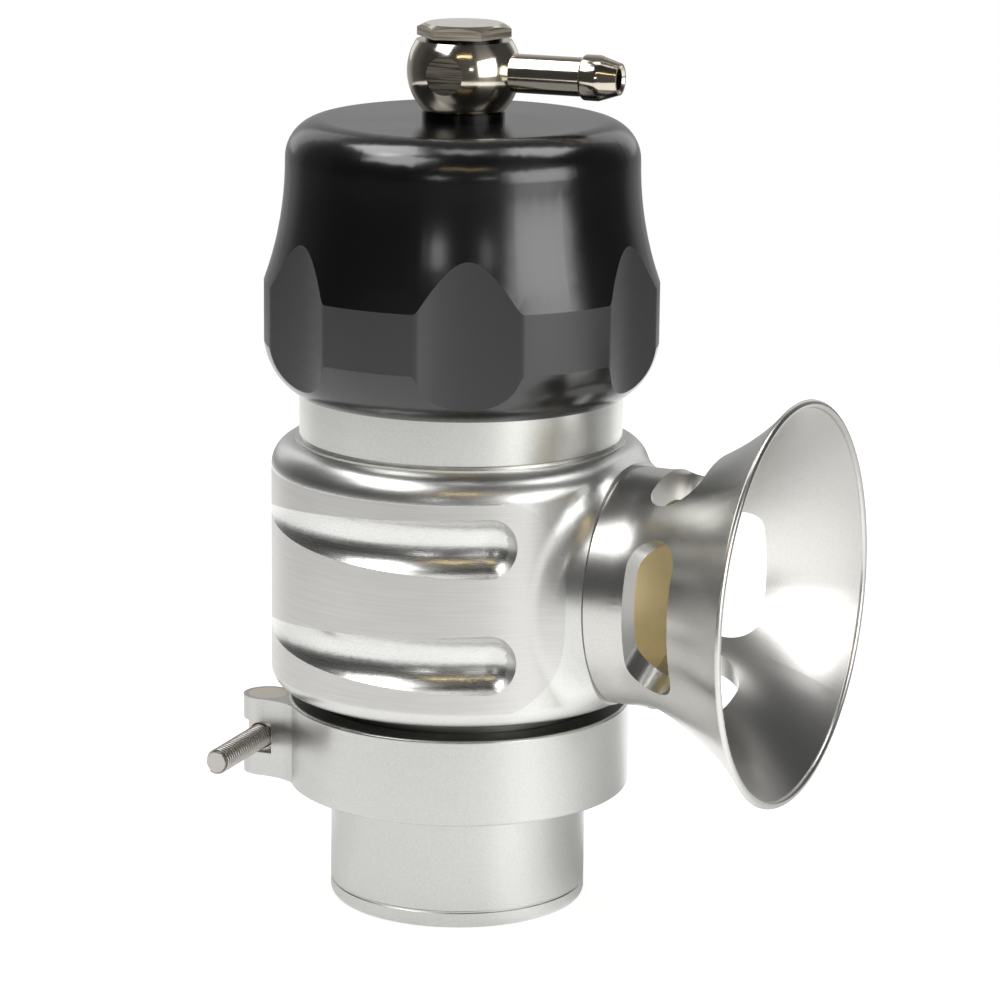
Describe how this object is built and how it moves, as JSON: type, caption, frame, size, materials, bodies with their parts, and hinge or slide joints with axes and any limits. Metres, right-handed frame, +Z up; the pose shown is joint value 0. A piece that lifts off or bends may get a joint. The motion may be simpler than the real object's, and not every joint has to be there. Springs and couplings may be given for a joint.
{
  "type": "blow off valve",
  "caption": "Piston blow off valve with a weld flange, split band clamp, black fluted screw cap, banjo hose barb and a windowed trumpet outlet.",
  "frame": {"origin": "centre of the inlet bore at the weld tube's lower end", "axes": "+Z up the valve's axis towards the cap, +X out along the trumpet outlet"},
  "size_m": [0.0846, 0.0592, 0.1311],
  "materials": {
    "silver_aluminium": "satin, clear anodised",
    "black_anodised": "satin black anodised",
    "gold_anodised": "satin gold anodised",
    "nickel_plated_brass": "bright nickel plate",
    "stainless_steel": "plain stainless",
    "spring_steel": "bare spring wire",
    "black_rubber": "moulded nitrile",
    "guide_band": "filled guide band",
    "crush_washer": "soft plain washer"
  },
  "bodies": {
    "valve": {"weld_flange": "silver_aluminium", "flange_o_ring": "black_rubber", "clamp_ring": "silver_aluminium", "clamp_barrel_nut": "stainless_steel", "clamp_barrel_washer": "stainless_steel", "clamp_screw": "stainless_steel", "valve_body": "silver_aluminium", "outlet_o_ring": "black_rubber", "trumpet": "silver_aluminium", "spring": "spring_steel"},
    "piston": {"piston": "gold_anodised", "piston_face_seal": "black_rubber", "piston_lower_guide_band": "guide_band", "piston_upper_guide_band": "guide_band", "piston_lip_seal": "black_rubber"},
    "thrust_washer": {"spring_thrust_washer": "stainless_steel"},
    "cap": {"cap": "black_anodised", "cap_o_ring": "black_rubber", "banjo_bolt": "nickel_plated_brass", "banjo_lower_washer": "crush_washer", "banjo_upper_washer": "crush_washer"},
    "banjo": {"banjo_fitting": "nickel_plated_brass"}
  },
  "joints": [
    {"name": "piston_slide", "type": "slide", "parent": "valve", "child": "piston", "axis": [0, 0, 1], "range_m": [0, 0.018], "stiffness_N_per_m": 2000, "springref_m": -0.028, "deforming": ["spring"]},
    {"name": "cap_travel", "type": "slide", "parent": "valve", "child": "thrust_washer", "axis": [0, 0, -1], "range_m": [0, 0.006], "deforming": ["spring"]},
    {"name": "cap_turn", "type": "hinge", "parent": "thrust_washer", "child": "cap", "pos_m": [0, 0, 0], "axis": [0, 0, -1], "range_deg": [0, 1440]},
    {"name": "banjo_swivel", "type": "hinge", "parent": "cap", "child": "banjo", "pos_m": [0, 0, 0.1242], "axis": [0, 0, 1], "continuous": true}
  ],
  "couplings": [
    {"joint": "cap_travel", "follows": "cap_turn", "m_per_rad": 0.00023873}
  ]
}
